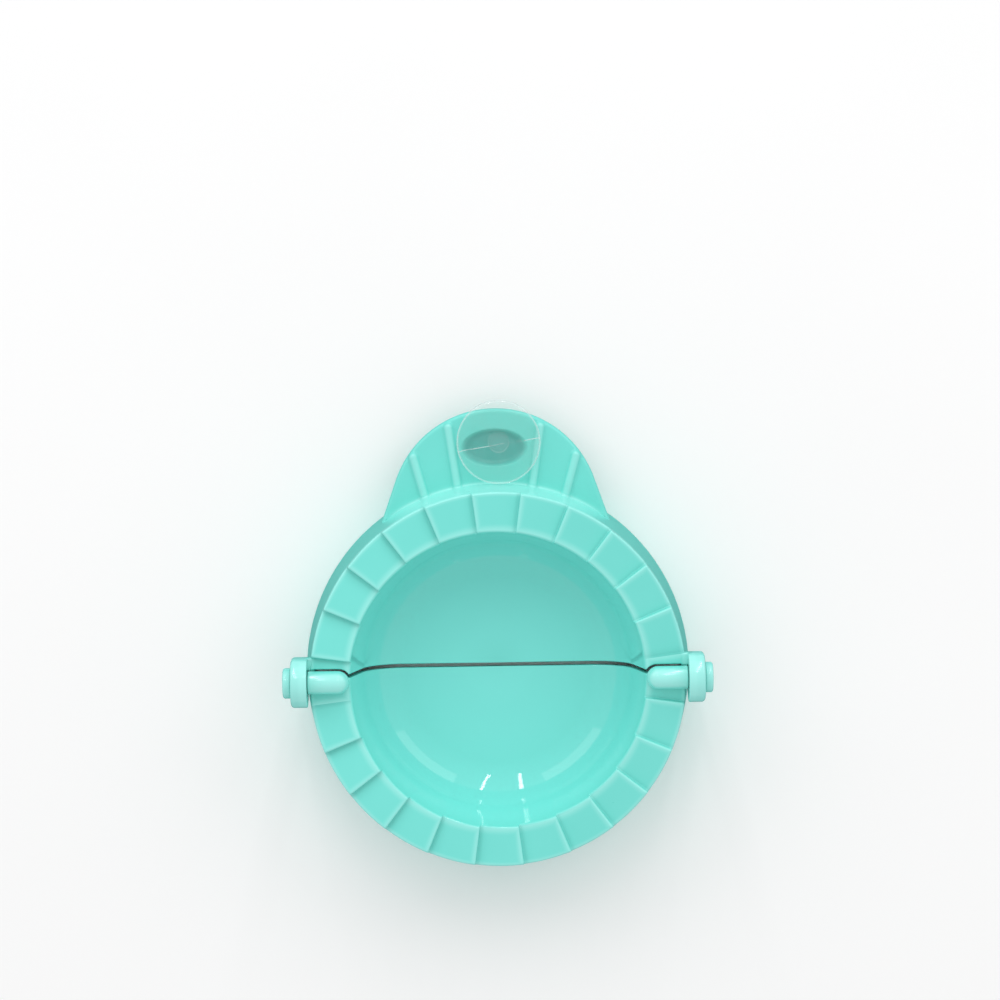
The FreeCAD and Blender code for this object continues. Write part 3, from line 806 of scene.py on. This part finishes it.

# How strong each painted light and shade is, how rough each finish is, and the noise scales in cycles to a
# metre
HIGHLIGHT_EDGE, HIGHLIGHT_RIB, HIGHLIGHT_HINGE, HIGHLIGHT_WALL = 0.4, 0.4, 0.6, 0.35
SHADE_OVAL, SHADE_FOOT, SHADE_TAB = 0.95, 0.26, 0.08
ROUGH_BOWL, ROUGH_HINGE, ROUGH_SATIN, ROUGH_CHANGE = 0.035, 0.13, 0.25, 0.1
CLOUD_SCALE, SATIN_SCALE, GRAIN_SCALE = 70.0, 420.0, 2600.0
GRAIN_STRENGTH, GRAIN_DEPTH = 0.12, 0.02 * MM
MINT_IOR = 1.5


def mint_plastic():
    """Glossy mint moulding, clouded a little. Light and shade are painted into its colour: painted light
    makes the bowl, thin edges, tooth crests, rib tops, the hinge's tops and a strip of the skirt's wall
    paler, and painted shade makes the foot of each tooth, the oval under the stud and the tab deeper."""
    finish = Finish("mint_plastic")
    between = finish.between
    x, out, z = finish.x, finish.y - HINGE.y, finish.z - HINGE.z
    around = finish.length(x, out)
    ring = between(z, *RING_LEVEL) * between(around, *RING_START)
    turn = finish.math("ARCTAN2", out, x) + TOOTH_LEAD - HALF_PITCH
    tooth = finish.math("FRACT", turn / (2 * HALF_PITCH) + TEETH)
    hinge = between(z, *HINGE_LEVEL)

    colour = finish.blend(finish.noise(CLOUD_SCALE, 3.0), MINT_DEEP, MINT_PALE)
    # Painted light: the bowl is coloured paler than the ring.
    colour = finish.blend(1.0 - between(around, *BOWL_END), colour, MINT_BOWL_PAINTED_LIGHT)

    # Painted highlights and light: the ring's inner and outer edges and tooth crests, the rib tops, the
    # hinge's tops and a strip of the skirt's wall are coloured paler.
    edges = finish.most(1.0 - between(around, *INNER_EDGE), between(around, *OUTER_EDGE),
                        between(tooth, *TOOTH_CREST))
    rib = between(z, *RIB_LEVEL) * between(around, *RIB_START)
    wall = between(around, *WALL_START) * (1.0 - between(around, *WALL_END)) * between(out, *WALL_FRONT)
    pale = finish.most(edges * ring * HIGHLIGHT_EDGE, rib * HIGHLIGHT_RIB, hinge * HIGHLIGHT_HINGE, wall * HIGHLIGHT_WALL)
    colour = finish.blend(pale, colour, MINT_PAINTED_HIGHLIGHT)

    # Painted shade: the oval recess under the stud, the foot of each tooth and the tab are coloured darker.
    oval = 1.0 - between(recess_reach(finish, x, out), *OVAL_EDGE)
    oval = oval * between(z + TAB_DROP + RECESS_DEPTH, *OVAL_FLOOR)
    foot = (1.0 - between(tooth, *TOOTH_START)) * ring
    painted_shade = finish.most(oval * SHADE_OVAL, foot * SHADE_FOOT, between(around, *TAB_START) * SHADE_TAB)
    colour = finish.blend(painted_shade, colour, MINT_PAINTED_SHADE)

    polish = 1.0 - between(around, *POLISH_END)
    satin = finish.pick(hinge, ROUGH_HINGE, ROUGH_SATIN + ROUGH_CHANGE * finish.noise(SATIN_SCALE, 4.0))
    grain = finish.noise(GRAIN_SCALE) * (1.0 - polish)
    bump = {"Strength": GRAIN_STRENGTH, "Distance": GRAIN_DEPTH, "Height": grain}
    finish.set(Base_Color=colour, Roughness=finish.pick(polish, ROUGH_BOWL, satin), IOR=MINT_IOR,
               Normal=finish.node("ShaderNodeBump", None, bump))
    return finish.material


# The clear stud's haze: everywhere, in clouds, in the stem and in the scratch, and as a painted highlight on
# the rim and at a flat angle
HAZE, HAZE_CLOUD, RIM_HIGHLIGHT, HAZE_STEM, HAZE_SCRATCH, FLAT_ANGLE_HIGHLIGHT = 0.015, 0.05, 0.2, 0.16, 0.3, 0.22
HAZE_SCALE, WANDER_SCALE, BREAK_SCALE = 240.0, 140.0, 330.0
STEM_EDGE = (STEM_RADIUS - 0.3, STEM_RADIUS + 0.4)
RIM_EDGE = (STUD_RADIUS - 0.6, STUD_RADIUS - 0.1)
SCRATCH_SLOPE, SCRATCH_PLACE, SCRATCH_WANDER = 0.16, 0.1, 0.9
SCRATCH_WIDTH, SCRATCH_BREAK = (0.04, 0.13), (0.38, 0.5)


def clear_plastic():
    """Clear plastic with a painted bright rim, a slight haze and a scratch."""
    finish = Finish("clear_plastic")
    x, y = finish.x - STUD_PLACE.x, finish.y - HINGE.y - STUD_PLACE.y
    reach = finish.length(x, y)
    stem = 1.0 - finish.between(reach, *STEM_EDGE)
    # Painted highlight: the haze thickens towards the rim to make it bright.
    rim = finish.between(reach, *RIM_EDGE)
    line = y - x * SCRATCH_SLOPE + SCRATCH_PLACE + finish.noise(WANDER_SCALE) * SCRATCH_WANDER
    scratch = 1.0 - finish.between(finish.math("ABSOLUTE", line), *SCRATCH_WIDTH)
    scratch = scratch * finish.between(finish.noise(BREAK_SCALE), *SCRATCH_BREAK)
    haze = HAZE + HAZE_CLOUD * finish.noise(HAZE_SCALE, 4.0) + RIM_HIGHLIGHT * rim
    haze = haze + HAZE_STEM * stem + HAZE_SCRATCH * scratch
    # Painted highlight: the haze thickens at flat angles, which brightens the rim.
    facing = finish.node("ShaderNodeLayerWeight", None, {"Blend": 0.2}, "Facing")
    solid = finish.clamp(haze + FLAT_ANGLE_HIGHLIGHT * facing)
    finish.set(Base_Color=finish.blend(stem, CLEAR_HAZE, CLEAR_STEM), Roughness=0.06, Coat_Weight=1.0,
               Coat_Roughness=0.03)
    through = finish.node("ShaderNodeBsdfTransparent", None, {"Color": CLEAR_TINT})
    gloss = Wire(finish, finish.shader.outputs[0])
    mixed = finish.node("ShaderNodeMixShader", None, {0: solid, 1: through, 2: gloss})
    finish.tree.links.new(mixed.socket, finish.tree.nodes["Material Output"].inputs["Surface"])
    return finish.material


def floor_paint():
    """Pale matt floor with a barely visible grain. Glossy surfaces see it dark, as over a dark table."""
    finish = Finish("floor")
    grain_scale = 9.0
    pale = finish.blend(finish.noise(grain_scale), FLOOR_PALE, FLOOR_WHITE)
    mirrored = finish.node("ShaderNodeLightPath", output="Is Glossy Ray")
    finish.set(Base_Color=finish.blend(mirrored, pale, FLOOR_MIRRORED), Roughness=0.8)
    return finish.material


mint = mint_plastic()
clear = clear_plastic()
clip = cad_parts["stud_clip"]
clip.data.materials.clear()
clip.data.materials.append(clear)
hinge_arms = with_mirror(joined(eye_mesh(mint), web_mesh(mint), *wall_rib_meshes(mint)))
handle_half = joined(shell_mesh(HANDLE_SPLIT, mint), tab_mesh(mint), hinge_arms)
plain_half = joined(shell_mesh(PLAIN_SPLIT, mint), with_mirror(barrel_mesh(mint)))
show("handle_half", handle_half, "handle")
show("plain_half", plain_half, "plain", math.pi)
for pin, side in (("left_hinge_pin", -1), ("right_hinge_pin", 1)):
    show(pin, pin_mesh(mint, side), "plain")
show("clear_stud", stud_mesh(clear), "handle")


def stand(right, up, back, place):
    """The matrix of a camera or lamp that looks away from its back."""
    return Matrix(((*right, 0.0), (*up, 0.0), (*back, 0.0), (*place, 1.0))).transposed()


def add_camera():
    """The photograph's view: from nearly straight above, a little from the tab's side. Its reach and clip
    distances are in metres."""
    target = Vector((1.09, 31.17, 21.5)) * MM
    tilt, roll, reach = math.radians(4.09), math.radians(0.88), 0.750
    data = bpy.data.cameras.new("camera")
    data.sensor_width, data.lens = 36.0, 121.4
    data.clip_start, data.clip_end = 0.01, 20.0
    camera = add_object("camera", data)
    back = Vector((0.0, math.sin(tilt), math.cos(tilt)))
    up = Vector((0.0, math.cos(tilt), -math.sin(tilt)))
    right = up.cross(back)
    up, right = up * math.cos(roll) + right * math.sin(roll), right * math.cos(roll) - up * math.sin(roll)
    camera.matrix_world = stand(right, up, back, target + back * reach)
    bpy.context.scene.camera = camera


def add_panel(name, turns, heights, reach, width, power):
    """A flat lamp beyond the tab. Its low and its high edge have a turn from +Y towards +X, in degrees, and a
    height. Its lengths are in metres."""
    low, high = (Vector((reach * math.sin(math.radians(turn)), reach * math.cos(math.radians(turn)), height))
                 for turn, height in zip(turns, heights))
    data = bpy.data.lights.new(name, "AREA")
    data.shape = "RECTANGLE"
    data.size, data.size_y = width, (high - low).length
    data.energy = power
    middle = (low + high) / 2
    along = (high - low).normalized()
    back = Vector((middle.x, middle.y, 0.0))
    back = (back - along * back.dot(along)).normalized()
    add_object(name, data).matrix_world = stand(along.cross(back), along, back, middle)


def add_floor():
    """A square floor, with its half side in metres."""
    half = 3.0
    mesh = bpy.data.meshes.new("floor")
    corners = [(-half, -half, 0), (half, -half, 0), (half, half, 0), (-half, half, 0)]
    mesh.from_pydata(corners, [], [(0, 1, 2, 3)])
    mesh.materials.append(floor_paint())
    floor = add_object("floor", mesh)


def add_sky():
    world = bpy.data.worlds.new("studio")
    world.use_nodes = True
    background = world.node_tree.nodes["Background"]
    background.inputs["Color"].default_value = SKY_COLOUR
    background.inputs["Strength"].default_value = SKY_STRENGTH
    bpy.context.scene.world = world


STRIP = {"heights": (0.2, 2.0), "reach": 1.2, "width": 0.04, "power": 4.0}
PANEL = {"heights": (0.35, 1.1), "reach": 1.2, "width": 0.9, "power": 2.7}
add_camera()
add_floor()
add_panel("right_strip", (10.5, 6.5), **STRIP)
add_panel("left_strip", (-11.9, -13.7), **STRIP)
add_panel("right_panel", (46.0, 46.0), **PANEL)
add_panel("left_panel", (-46.0, -46.0), **PANEL)
add_sky()
bpy.context.scene.view_settings.view_transform = "Standard"
